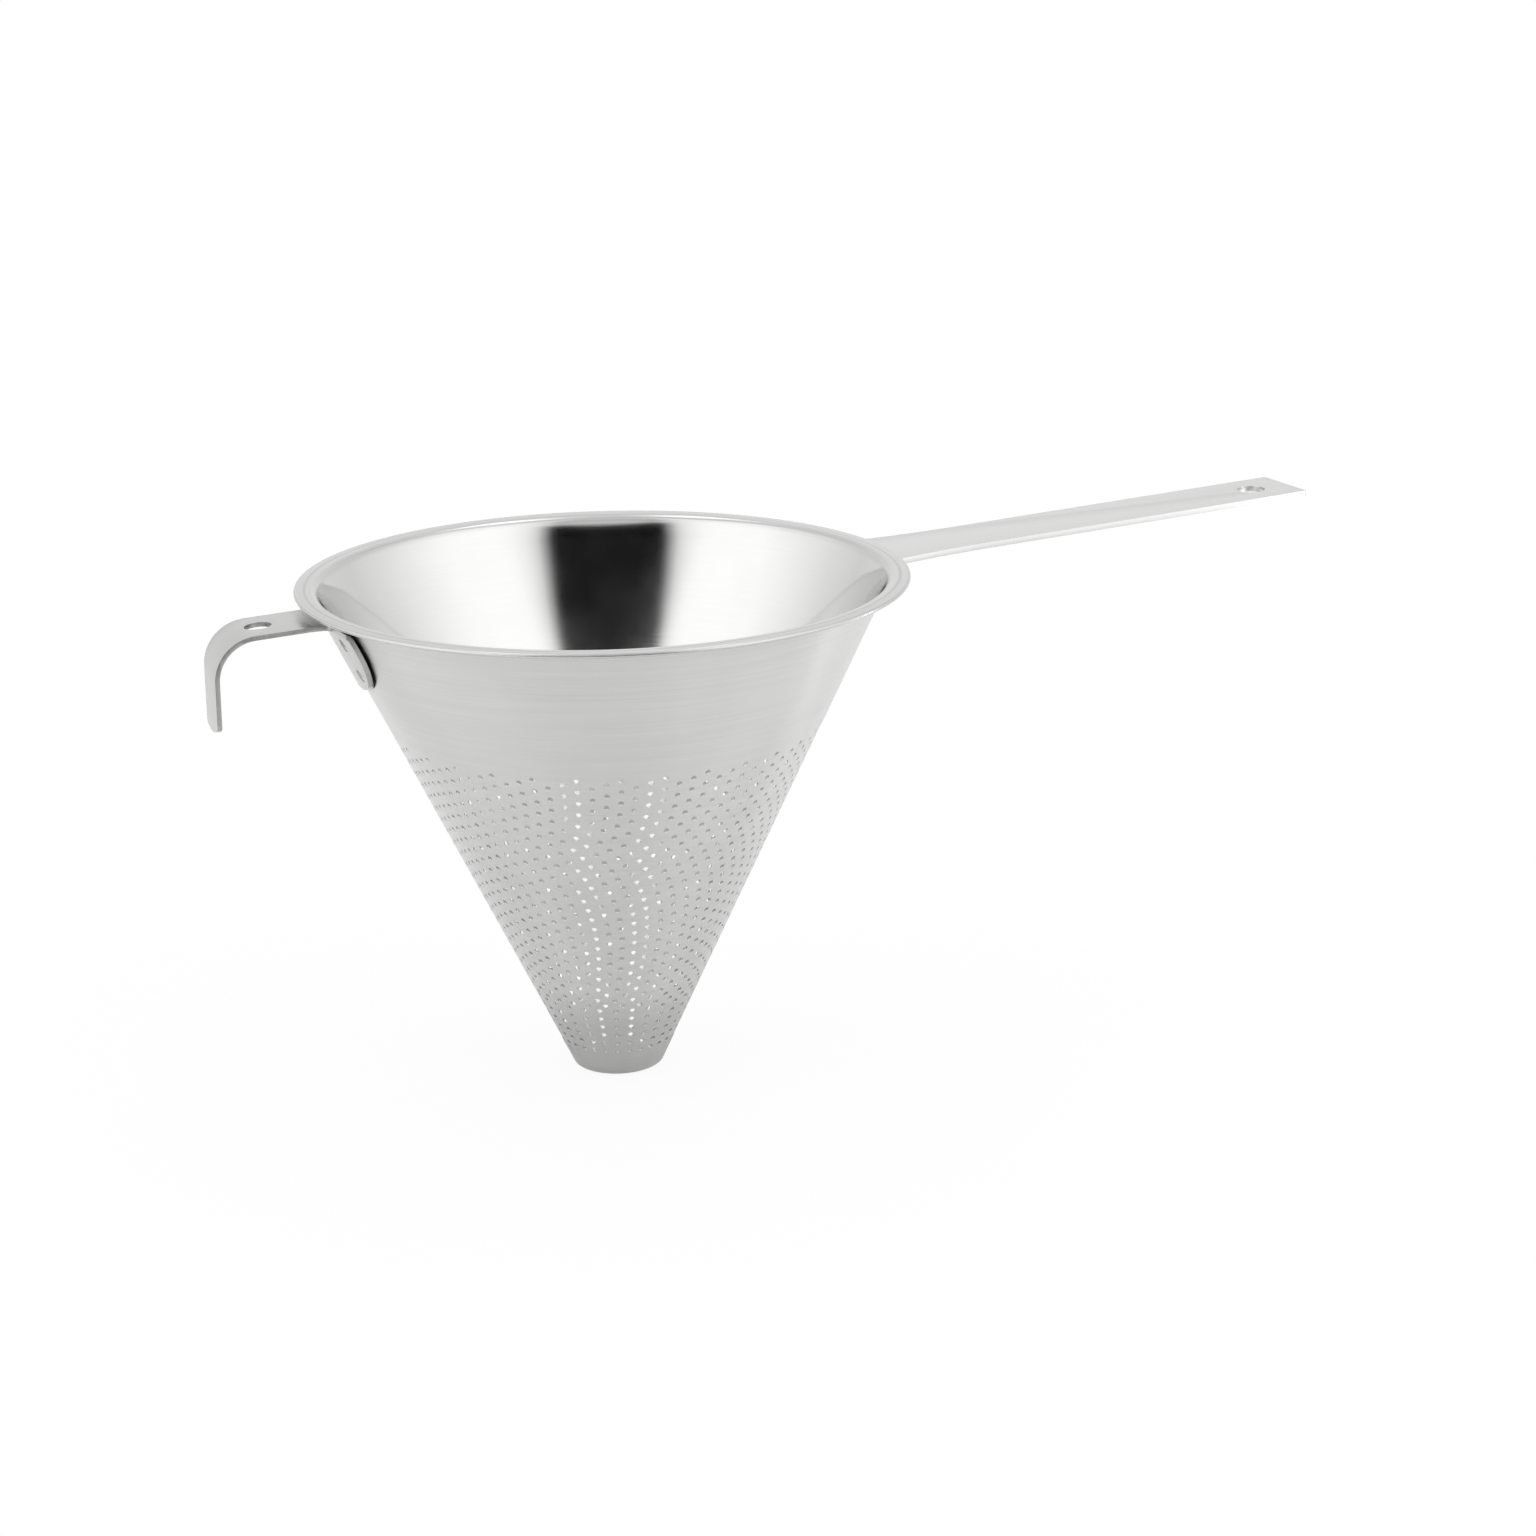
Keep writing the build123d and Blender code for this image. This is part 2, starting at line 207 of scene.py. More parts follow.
class PerforationSizes(bpy.types.PropertyGroup):
    hole_dia: length("Hole", "Width of a hole", 0.0018)
    holes_per_row: count("Holes per row", "Holes round one row", 32, 3)
    rows: count("Rows", "Rows that step round the cone", 52, 2)
    first_row_depth: length("First row", "Depth of the first row below the rim", 0.0483)
    top_row_step: length("Upper step", "Between the upper rows, down the axis", 0.001395)
    low_row_step: length("Lower step", "Between the lower rows, down the axis", 0.00241)
    first_row_turn: turn("First turn", "Where the first row begins, from the handle", 5.5)
    top_stagger: share(
        "Upper stagger", "Step round the cone between upper rows, of the hole pitch", 0.331)
    low_stagger: share(
        "Lower stagger", "Step round the cone between lower rows, of the hole pitch", 0.585)
    growth_power: share("Growth", "How late the steps grow on the way down", 1.5, 4.0)
    tip_rows: count("Tip rows", "Rows round the tip, in line", 6, 1)
    tip_row_depth: length("Tip rows at", "Depth of the first of the tip's rows", 0.1419)
    tip_row_step: length("Tip step", "Between the tip's rows, down the axis", 0.0035)
    tip_row_turn: turn("Tip turn", "Where the tip's rows begin, from the handle", 1.7)
    margin: length("Margin", "Plain sheet kept round the field of holes", 0.0017)
    hole_sides: count("Hole sides", "Sides of one hole", 12, 6)


class StrapSizes(bpy.types.PropertyGroup):
    handle_edge: length("Handle edge", "Width of the handle's softened edges", 0.0003)
    hook_edge: length("Hook edge", "Width of the hook's softened edges", 0.00025)
    hook_sheet: length("Hook sheet", "Thickness of the hook's strap", 0.0015)
    hook_off_line: turn("Hook off line", "How far the hook stands off the handle's line", 4.5)
    handle_weld_side: length(
        "Handle weld side", "From the handle's middle to its tab's welds", 0.014)
    hook_weld_side: length("Hook weld side", "From the hook's middle to its tab's welds", 0.016)
    upper_weld: length("Upper weld", "Depth of the upper welds below the rim", 0.0104)
    lower_weld: length("Lower weld", "Depth of the lower welds below the rim", 0.0207)
    # Width of the painted shade round a weld's dimple
    dimple_shade_width: length("Weld mark", "Width of the dark mark round a weld", 0.0036)


class SteelLooks(bpy.types.PropertyGroup):
    cone_colour: colour("Cone", "Colour of the cone's steel", (0.63, 0.63, 0.625))
    handle_colour: colour("Handle", "Colour of the handle's steel", (0.64, 0.64, 0.635))
    hook_colour: colour("Hook", "Colour of the hook's steel", (0.55, 0.55, 0.545))
    edge_colour: colour(
        "Sheared edge", "Colour of the hook's sheared edges", (0.42, 0.42, 0.415))
    weld_colour: colour("Weld", "Colour of the fused metal", (0.38, 0.375, 0.37))
    outside_rough: share("Outside", "Roughness of the cone's brushed outside", 0.34)
    inside_rough: share("Inside", "Roughness of the cone's bright inside", 0.085)
    strap_rough: share("Straps", "Roughness of the brushed straps", 0.34)
    edge_rough: share("Sheared edges", "Roughness of the hook's sheared edges", 0.4)
    weld_rough: share("Welds", "Roughness of the fused metal", 0.5)
    brushing: share(
        "Brushing", "How far the turned lines stretch a highlight up the cone", 0.8)


class StageLooks(bpy.types.PropertyGroup):
    floor_width: length("Floor", "Width of the floor", 1.1)
    floor_drop: length("Floor drop", "How far the floor lies under the tip", 0.0004)
    floor_colour: colour("Floor colour", "Colour of the floor", (0.9, 0.9, 0.9))
    floor_clear: share(
        "Clear floor", "How white the camera sees the floor, past its shadow", 0.9)
    floor_mirrored: share("Mirrored floor", "The same where steel shows the floor", 0.15)
    camera_place: point("Camera", "Where the camera stands", (-0.30361, -0.84608, 0.3834))
    camera_aim: point("Aim", "Point that the camera looks at", (0.04845, -0.02066, 0.10326))
    camera_roll: turn("Roll", "Turn of the camera about its own line of sight", -0.8335)
    camera_lens: FloatProperty(
        name="Lens", description="Focal length in millimetres", default=66.16, min=1.0)
    softbox_light: share(
        "Softboxes", "Brightness of the two softboxes beside the camera", 1.55, 4.0)
    ceiling_light: share("Ceiling", "Brightness above the softboxes", 0.9, 4.0)
    overhead_light: share("Overhead", "Brightness of the two panels right overhead", 2.4, 4.0)
    gap_light: share("Gap", "Brightness of the dark gap between the softboxes", 0.002)
    gap_aside: turn("Gap aside", "How far right of the camera the gap's middle stands", 0.65)
    gap_rise: turn("Gap rise", "How high over the floor the gap's middle stands", 38.4)
    gap_reach: turn("Gap reach", "From the gap's middle to its upper and lower ends", 5.4)
    strip_light: share(
        "Strip", "Brightness of the strip lamp right of the cone", 2.8, 20.0)
    strip_turn: turn("Strip turn", "Where the strip lamp stands, round from the camera", 100)
    strip_reach: length("Strip distance", "From the cone's axis to the strip lamp", 0.32)
    strip_width: length("Strip width", "Width of the strip lamp", 0.016)
    strip_height: length("Strip height", "Height of the strip lamp", 0.23)


class Value:
    """A socket of a node tree. Arithmetic on it adds Math nodes."""

    def __init__(self, tree, socket=None):
        self.tree = tree
        self.socket = socket

    def node(self, kind, output=0, settings=None, stops=None, inputs=None):
        """Adds a node of a kind, with its settings, the stops of its ramp and its inputs."""
        made = self.tree.nodes.new(kind)
        for name, setting in (settings or {}).items():
            setattr(made, name, setting)
        for place, (position, level) in enumerate(stops or []):
            ramp = made.color_ramp.elements
            stop = ramp[place] if place < len(ramp) else ramp.new(position)
            stop.position = position
            stop.color = (level, level, level, 1)
        for name, given in (inputs or {}).items():
            if isinstance(given, Value):
                self.tree.links.new(given.socket, made.inputs[name])
            else:
                made.inputs[name].default_value = given
        return Value(self.tree, made.outputs[output] if made.outputs else None)

    def math(self, operation, *others):
        """Adds one Math node, with this value first."""
        return self.node("ShaderNodeMath", settings={"operation": operation},
                         inputs=dict(enumerate((self, *others))))

    def along(self, direction):
        """How far this vector points in a direction."""
        return self.node("ShaderNodeVectorMath", "Value", settings={"operation": "DOT_PRODUCT"},
                         inputs={0: self, 1: direction})

    def absolute(self):
        """This value without its sign."""
        return self.math("ABSOLUTE")

    def smooth(self, low, high):
        """0 below low, 1 above high, and a smooth step between."""
        return self.node("ShaderNodeMapRange", settings={"interpolation_type": "SMOOTHSTEP"},
                         inputs={"Value": self, "From Min": low, "From Max": high})

    def fade(self, low, high):
        """1 below low, 0 above high, and a smooth step between."""
        return 1 - self.smooth(low, high)

    def __add__(self, other):
        return self.math("ADD", other)

    __radd__ = __add__

    def __mul__(self, other):
        return self.math("MULTIPLY", other)

    __rmul__ = __mul__

    def __sub__(self, other):
        return self.math("SUBTRACT", other)

    def __rsub__(self, other):
        return self * -1 + other

    def __truediv__(self, other):
        return self.math("DIVIDE", other)

    def __pow__(self, other):
        return self.math("POWER", other)


def emptied(owner):
    """Where the node tree of a material or world starts, with nothing in it."""
    owner.use_nodes = True
    owner.node_tree.nodes.clear()
    return Value(owner.node_tree)


def new_tree(name):
    """A material with an empty node tree, and the object coordinates on it."""
    material = bpy.data.materials.new(name)
    return material, emptied(material).node("ShaderNodeTexCoord", "Object")


def split(vector):
    """The three numbers of a vector."""
    first = vector.node("ShaderNodeSeparateXYZ", inputs={0: vector})
    return [Value(vector.tree, output) for output in first.socket.node.outputs]


def joined(x, y, z):
    """A vector of three numbers."""
    return x.node("ShaderNodeCombineXYZ", inputs={0: x, 1: y, 2: z})


def noise(vector, scale=1.0, detail=2.0, rough=0.5):
    """Noise from 0 to 1."""
    return vector.node("ShaderNodeTexNoise", inputs={
        "Vector": vector, "Scale": scale, "Detail": detail, "Roughness": rough})


def grain(axes, repeats, **settings):
    """Noise that repeats at its own rate along each of three axes."""
    return noise(joined(*(axis * often for axis, often in zip(axes, repeats))), **settings)


def fine_grain(axes, repeats):
    """The same with crisp detail, for the finest lines."""
    return grain(axes, repeats, detail=3.0, rough=0.6)


def brushed(axes, fine, broad):
    """Fine and broad brushed lines in one."""
    return fine_grain(axes, fine) * FINE_SHARE + grain(axes, broad) * (1 - FINE_SHARE)


def varied(level, patterns, swings):
    """A level that each pattern raises and lowers by its swing."""
    for pattern, swing in zip(patterns, swings):
        level = level + (pattern - NOISE_MIDDLE) * swing
    return level


def distance(x, y):
    """How far off an axis two numbers across it lie."""
    return (x * x + y * y) ** 0.5


def round_cone(place):
    """Direction round the cone, height, and distance from the cone's axis."""
    x, y, z = split(place)
    radius = distance(x, y)
    return (x / radius, y / radius), z, radius


def tinted(base_colour, tone):
    """A colour made lighter and darker by a tone near 1."""
    # A Mix node's colours are its inputs 6 and 7 and its output 2
    return tone.node("ShaderNodeMix", 2, settings={"data_type": "RGBA", "blend_type": "MULTIPLY"},
                     inputs={"Factor": 1.0, 6: (*base_colour, 1.0), 7: joined(tone, tone, tone)})


def steel_shader(base, rough, height, relief, **constants):
    """Ends a tree in bare metal with the relief of its lines."""
    bump = height.node("ShaderNodeBump", inputs={
        "Strength": 1.0, "Distance": relief, "Height": height})
    metal = height.node("ShaderNodeBsdfPrincipled", inputs={
        "Base Color": base, "Metallic": 1.0, "Roughness": rough, "Normal": bump, **constants})
    metal.node("ShaderNodeOutputMaterial", inputs={"Surface": metal})


def outside_steel(looks):
    """Steel of the cone's outside, with lines turned round it, and painted shade that darkens it
    at the tip.
    """
    material, place = new_tree("turned steel")
    way, z, _ = round_cone(place)
    lines = brushed((*way, z), TURNED_FINE, TURNED_BROAD)
    patterns = (lines, grain((*way, z), TURNED_CLOUD))
    tone = varied(1, patterns, TURNED_TONE)
    # Painted shade: the outside darkens towards the tip, for the floor's shadow that it reflects
    # there
    tone = tone * (TIP_SHADE_TONE + z.smooth(*TIP_SHADE_FADE) * (1 - TIP_SHADE_TONE))
    rough = varied(looks.outside_rough, patterns, TURNED_ROUGH)
    steel_shader(tinted(looks.cone_colour, tone), rough, lines, TURNED_RELIEF,
                 **{"Anisotropic": looks.brushing, "Anisotropic Rotation": QUARTER_TURN})
    return material


def inside_steel(sizes, looks):
    """Bright steel of the cone's inside, and the duller steel of the flange, darkened by painted
    shade, with a painted line of shade where the hem ends under it.
    """
    material, place = new_tree("bright steel")
    way, z, radius = round_cone(place)
    fine = fine_grain((*way, z), BRIGHT_FINE)
    cloud = grain((*way, z), BRIGHT_CLOUD, detail=3.0)
    rings = grain((*way, radius), FLANGE_RINGS)
    flange = z.smooth(*(sizes.height - depth for depth in FLANGE_FADE))
    fold = (radius - (sizes.rim_dia / 2 - sizes.hem_width * FOLD_LINE)).absolute()
    fold_line_shade = fold.fade(*FOLD_LINE_FADE)
    # The rings are the flange's own tone; the rest is painted shade: the flange drawn darker than
    # the wall, and darker still along the hem's end
    shade = rings * FLANGE_SWING - FLANGE_SHADE - fold_line_shade * FOLD_LINE_SHADE
    tone = varied(1, (fine, cloud), BRIGHT_TONE) + shade * flange
    rough = varied(looks.inside_rough + flange * FLANGE_ROUGH, (cloud,), BRIGHT_ROUGH)
    steel_shader(tinted(looks.cone_colour, tone), rough, fine, BRIGHT_RELIEF)
    return material


def weld_dimple_shade(axes, sizes, straps, weld_side):
    """1 on the painted shade of the upper welds' dimples on a tab, less on the lower ones'."""
    x, y, z = axes
    tab_end = sizes.rim_dia / 2 - sizes.hem_width
    on_tab = x.absolute().fade(tab_end, tab_end + TAB_FADE)
    aside = y.absolute() - weld_side

    def mark(depth):
        """1 at the welds of a depth, and 0 elsewhere."""
        away = distance(aside, z - (sizes.height - depth))
        return away.fade(*(straps.dimple_shade_width * reach for reach in DIMPLE_SHADE_FADE))

    return (mark(straps.upper_weld) + mark(straps.lower_weld) * LOWER_DIMPLE_SHADE) * on_tab


def crevice_shadow(axes, sizes, reach):
    """Painted shadow of the gap between a tab and the cone's wall: 1 on a tab close to the wall,
    and 0 past a reach from it or up at the rim.
    """
    x, y, z = axes
    wall = WallLine(sizes)
    off = distance(x, y) - (z * wall.slope + wall.foot)
    low = z.fade(*(sizes.height - depth for depth in CREVICE_FADE))
    return off.fade(reach * CREVICE_CORE, reach) * low


def strap_steel(scene, name, base_colour, off_line, weld_side):
    """Steel of a strap: fine lines that run along it, and painted shade at its welds' dimples."""
    looks = scene.steel_looks
    material, place = new_tree(name)
    turned = place.node("ShaderNodeMapping", inputs={
        "Vector": place, "Rotation": (0.0, 0.0, off_line)})
    axes = split(turned)
    lines = brushed(axes, STRAP_FINE, STRAP_BROAD)
    patterns = (lines, noise(turned, STRAP_CLOUD))
    marks = weld_dimple_shade(axes, scene.cone_sizes, scene.strap_sizes, weld_side)
    # marks holds the painted shade of the welds' dimples, which darkens the tone
    tone = varied(1, patterns, STRAP_TONE) * (1 - marks * DIMPLE_SHADE)
    rough = varied(looks.strap_rough, patterns, STRAP_ROUGH)
    steel_shader(tinted(base_colour, tone), rough, lines, STRAP_RELIEF)
    return material


def sheared_steel(scene):
    """Dull steel of the hook's sheared edges, with short marks across them, and painted shadow
    where they stand close to the cone's wall.
    """
    looks = scene.steel_looks
    material, place = new_tree("sheared steel")
    axes = split(place)
    marks = grain(axes, SHEARED_MARKS)
    dark = crevice_shadow(axes, scene.cone_sizes, scene.strap_sizes.hook_sheet)
    tone = varied(1, (marks, noise(place, SHEARED_CLOUD)), SHEARED_TONE)
    # Painted shadow of the gap between the tab and the wall darkens the sheared edges there
    tone = tone * (1 - dark * CREVICE_SHADE)
    rough = varied(looks.edge_rough, (marks,), SHEARED_ROUGH)
    steel_shader(tinted(looks.edge_colour, tone), rough, marks, SHEARED_RELIEF)
    return material


def weld_steel(looks):
    """Dull fused metal of the spot welds."""
    material, place = new_tree("fused steel")
    cloud = noise(place, FUSED_CLOUD, detail=3.0)
    tone = varied(1, (cloud,), FUSED_TONE)
    rough = varied(looks.weld_rough, (cloud,), FUSED_ROUGH)
    steel_shader(tinted(looks.weld_colour, tone), rough, cloud, FUSED_RELIEF)
    return material


class WallLine:
    """The straight line of the wall's middle: radius = foot + slope * height."""

    def __init__(self, sizes):
        half = sizes.sheet / 2
        mouth = sizes.rim_dia / 2 - sizes.flange_width
        self.slope = (mouth - sizes.tip_dia / 2) / sizes.height
        self.angle = atan(self.slope)
        self.foot = sizes.tip_dia / 2 - half / cos(self.angle)
        self.apex = -self.foot / self.slope
        self.lift = half * sin(self.angle)
        self.top = sizes.height
        self.lean = self.angle + sizes.flare_turn
        bend_turn = pi / 2 - self.lean
        bend_drop = sizes.mouth_bend * tan(bend_turn / 2) * cos(self.lean)
        self.flare_end = sizes.height - half - bend_drop
        self.flare_start = self.flare_end - sizes.flare
        self.flare_middle = (self.flare_start + self.flare_end) / 2

    def radius(self, z):
        """Radius of the sheet's middle at a height."""
        return self.foot + z * self.slope

    def at(self, z):
        """The place of the sheet's middle at a height, in the XZ plane."""
        return Vector((self.radius(z), z))

    def slant(self, z):
        """Distance along the wall from the cone's apex to a height."""
        return (z - self.apex) / cos(self.angle)

    def at_depth(self, depth):
        """Slant distance, in the sheet's middle, of a place at a depth on its outside."""
        return self.slant(self.top - depth + self.lift)

    def flat(self, slant, around):
        """A place on the wall, laid out flat."""
        swing = around * sin(self.angle)
        return Vector((slant * cos(swing), slant * sin(swing)))

    def rolled(self, place):
        """A place on the flat blank, rolled up into the wall."""
        slant = hypot(place[0], place[1])
        around = atan2(place[1], place[0]) / sin(self.angle)
        radius = slant * sin(self.angle)
        height = self.apex + slant * cos(self.angle)
        return Vector((radius * cos(around), radius * sin(around), height))

    def facing(self, place):
        """The way that the true cone's outside faces at a place."""
        around = atan2(place.y, place.x)
        level = cos(self.angle)
        return Vector((level * cos(around), level * sin(around), -sin(self.angle)))


def hole_rows(holes, pitch):
    """Depth and turn of each row of holes, from the top down."""
    rows = []
    depth = holes.first_row_depth
    around = holes.first_row_turn
    more_step = holes.low_row_step - holes.top_row_step
    more_stagger = holes.low_stagger - holes.top_stagger
    for row in range(holes.rows):
        rows.append((depth, around))
        growth = (row / (holes.rows - 1)) ** holes.growth_power
        depth += holes.top_row_step + more_step * growth
        around -= (holes.top_stagger + more_stagger * growth) * pitch
    turns = round((rows[-1][1] - holes.tip_row_turn) / pitch)
    tip_turn = holes.tip_row_turn + turns * pitch
    for row in range(holes.tip_rows):
        rows.append((holes.tip_row_depth + row * holes.tip_row_step, tip_turn))
    return rows


def blank_outline(wall, rows, margin, pitch, facets):
    """Edge of one column of the flat blank, and the slant distances of its two ends."""
    step = pitch / facets
    (top, top_turn), (low, low_turn) = (
        (wall.at_depth(depth + beyond), round((around - pitch / 2) / step) * step)
        for (depth, around), beyond in ((rows[0], -margin), (rows[-1], margin)))
    left = [(wall.at_depth(depth), around - pitch / 2) for depth, around in rows]
    left = [(top, top_turn), *left, (low, low_turn)]
    outline = [wall.flat(slant, around) for slant, around in left]
    outline += [wall.flat(low, low_turn + step * number) for number in range(1, facets)]
    outline += [wall.flat(slant, around + pitch) for slant, around in reversed(left)]
    outline += [wall.flat(top, top_turn + pitch - step * number) for number in range(1, facets)]
    return outline, (top, low)


def blank_column(wall, holes, facets):
    """Points and faces of one column of the wall with its holes, and its two ends."""
    pitch = 2 * pi / holes.holes_per_row
    rows = hole_rows(holes, pitch)
    outline, ends = blank_outline(wall, rows, holes.margin, pitch, facets)
    centres = [wall.flat(wall.at_depth(depth), around) for depth, around in rows]
    reach = holes.hole_dia / 2
    angles = [2 * pi * side / holes.hole_sides for side in range(holes.hole_sides)]
    edges = [Vector((cos(angle), sin(angle))) * reach for angle in angles]
    points = []
    links = []
    for loop in (outline, *([centre + edge for edge in edges] for centre in centres)):
        first = len(points)
        points += loop
        links += [(first + number, first + (number + 1) % len(loop))
                  for number in range(len(loop))]
    flat, _, faces, *_ = delaunay_2d_cdt(points, links, [], 1, SAME_CORNER)
    hole_inside = reach * cos(pi / holes.hole_sides)
    kept = []
    for face in faces:
        middle = sum((flat[corner] for corner in face), Vector((0, 0))) / len(face)
        if min((middle - centre).length for centre in centres) > hole_inside:
            kept.append(face)
    return [wall.rolled(place) for place in flat], kept, ends


def bend(corner, back, ahead, radius, steps):
    """Points of an arc that rounds a corner between two others."""
    before = (back - corner).normalized()
    after = (ahead - corner).normalized()
    half_turn = before.angle(after) / 2
    middle = corner + (before + after).normalized() * radius / sin(half_turn)
    start = corner + before * radius / tan(half_turn) - middle
    full = pi - 2 * half_turn
    sign = 1 if before.cross(after) < 0 else -1
    return [middle + Matrix.Rotation(sign * full * number / steps, 2) @ start
            for number in range(steps + 1)]


def tip_path(sizes, wall, low):
    """Middle line of the sheet from the tip's centre to the lowest holes."""
    half = sizes.sheet / 2
    centre = Vector((0, half))
    foot = wall.at(half)
    ahead = wall.at(wall.flare_middle)
    return [centre, Vector((foot.x / 2, half)),
            *bend(foot, centre, ahead, sizes.tip_bend, sizes.bend_steps), wall.at(low)]


def rim_path(sizes, wall, top):
    """Middle line of the sheet from the highest holes over the flange to the hem's end."""
    half = sizes.sheet / 2
    fold = (sizes.hem_gap + sizes.sheet) / 2
    steps = sizes.bend_steps
    rim_top = sizes.height - half
    edge = Vector((sizes.rim_dia / 2 - fold - half, rim_top))
    flare = wall.at(wall.flare_middle)
    mouth = Vector((flare.x + tan(wall.lean) * (rim_top - wall.flare_middle), rim_top))
    flare_radius = sizes.flare / 2 / cos(wall.angle) / tan(sizes.flare_turn / 2)
    turns = [pi * number / steps for number in range(steps + 1)]
    return [wall.at(top), wall.at((top + wall.flare_start) / 2),
            *bend(flare, wall.at(half), mouth, flare_radius, steps),
            *bend(mouth, flare, edge, sizes.mouth_bend, steps),
            *(edge + Vector((sin(turned), cos(turned) - 1)) * fold for turned in turns),
            Vector((sizes.rim_dia / 2 - sizes.hem_width, edge.y - 2 * fold))]


def select_nothing():
    """Leaves no object selected or active."""
    if bpy.context.mode != "OBJECT":
        bpy.ops.object.mode_set(mode="OBJECT")
    bpy.ops.object.select_all(action="DESELECT")
    bpy.context.view_layer.objects.active = None


def linked(name, contents):
    """A new object in the scene, with its mesh, lamp or camera."""
    piece = bpy.data.objects.new(name, contents)
    bpy.context.scene.collection.objects.link(piece)
    return piece


def new_piece(name, mesh):
    """A new object with a mesh, selected and active."""
    select_nothing()
    piece = linked(name, mesh)
    piece.select_set(True)
    bpy.context.view_layer.objects.active = piece
    return piece


def new_mesh(name, points, edges=(), faces=()):
    """A mesh of points with their edges or faces."""
    mesh = bpy.data.meshes.new(name)
    mesh.from_pydata([tuple(place) for place in points], list(edges), list(faces))
    return mesh


@contextmanager
def edit_mode():
    """Edit mode on the active object, with all of its mesh selected."""
    bpy.ops.object.mode_set(mode="EDIT")
    bpy.ops.mesh.select_all(action="SELECT")
    yield
    bpy.ops.object.mode_set(mode="OBJECT")


def apply(piece, kind, **settings):
    """Adds a modifier with its settings and applies it."""
    modifier = piece.modifiers.new(kind.title(), kind)
    for name, setting in settings.items():
        setattr(modifier, name, setting)
    bpy.ops.object.modifier_apply(modifier=modifier.name)


def perforated_wall(points, faces, columns):
    """The wall: one column of it, repeated round the axis."""
    wall = new_piece("strainer_sheet", new_mesh("strainer_sheet", points, faces=faces))
    turner = linked("hole pitch", None)
    turner.rotation_euler.z = 2 * pi / columns
    bpy.context.view_layer.update()
    apply(wall, "ARRAY", count=columns, use_relative_offset=False,
          use_object_offset=True, offset_object=turner, use_merge_vertices=True,
          use_merge_vertices_cap=True, merge_threshold=SAME_PLACE)
    bpy.data.objects.remove(turner)
    return wall


def ordered(name, mesh):
    """The same mesh with its faces in one order, because spin gives another each run."""
    faces = []
    for face in mesh.polygons:
        corners = list(face.vertices)
        first = corners.index(min(corners))
        faces.append(corners[first:] + corners[:first])
    return new_mesh(name, [vertex.co for vertex in mesh.vertices], faces=sorted(faces))


def spun(name, path, steps):
    """A line in the XZ plane, spun round the axis, that keeps the sheet's full thickness."""
    points = [(place.x, 0, place.y) for place in path]
    links = [(number, number + 1) for number in range(len(path) - 1)]
    piece = new_piece(name, new_mesh(name, points, links))
    with edit_mode():
        bpy.ops.mesh.spin(steps=steps, angle=2 * pi, center=(0, 0, 0), axis=(0, 0, 1))
        bpy.ops.mesh.select_all(action="SELECT")
        bpy.ops.mesh.remove_doubles(threshold=SAME_PLACE)
    piece.data = ordered(name, piece.data)
    full = piece.vertex_groups.new(name=FULL_SHEET)
    full.add(range(len(piece.data.vertices)), 1.0, "REPLACE")
    return piece


def true_normals(piece, line):
    """Gives the wall under its flare the normals of a true cone, for smooth reflections."""
    mesh = piece.data
    normals = [Vector(corner.vector) for corner in mesh.corner_normals]
    for face in mesh.polygons:
        middle = face.center
        side = face.normal.dot(line.facing(middle))
        on_wall = abs(hypot(middle.x, middle.y) - line.radius(middle.z)) < WALL_REACH
        if abs(side) < cos(WALL_TURN) or not on_wall or middle.z > line.flare_start:
            continue
        for loop in face.loop_indices:
            corner = mesh.vertices[mesh.loops[loop].vertex_index].co
            true = line.facing(corner)
            normals[loop] = true if side > 0 else -true
    mesh.normals_split_custom_set(normals)


class STRAINER_OT_cone(bpy.types.Operator):
    """Make the cone's sheet, with all its holes, its flat flange and its folded edge"""

    bl_idname = "strainer.cone"
    bl_label = "Cone"

    def execute(self, context):
        sizes = context.scene.cone_sizes
        holes = context.scene.perforation_sizes
        looks = context.scene.steel_looks
        line = WallLine(sizes)
        points, faces, ends = blank_column(line, holes, sizes.facets)
        sheet = perforated_wall(points, faces, holes.holes_per_row)
        top, low = (line.apex + slant * cos(line.angle) for slant in ends)
        steps = sizes.facets * holes.holes_per_row
        plain = [spun("tip", tip_path(sizes, line, low), steps),
                 spun("rim", rim_path(sizes, line, top), steps)]
        select_nothing()
        for piece in (*plain, sheet):
            piece.select_set(True)
        context.view_layer.objects.active = sheet
        bpy.ops.object.join()
        with edit_mode():
            bpy.ops.mesh.remove_doubles(threshold=SAME_PLACE)
            bpy.ops.mesh.normals_make_consistent(inside=False)
        sheet.data.materials.append(inside_steel(sizes, looks))
        sheet.data.materials.append(outside_steel(looks))
        apply(sheet, "SOLIDIFY", thickness=sizes.sheet, offset=0.0, use_even_offset=True,
              material_offset=1, material_offset_rim=1, vertex_group=FULL_SHEET,
              thickness_vertex_group=sizes.thinned)
        bpy.ops.object.shade_smooth_by_angle(angle=CONE_CREASE)
        true_normals(sheet, line)
        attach(sheet, BODY)
        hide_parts("strainer_cone")
        return {"FINISHED"}


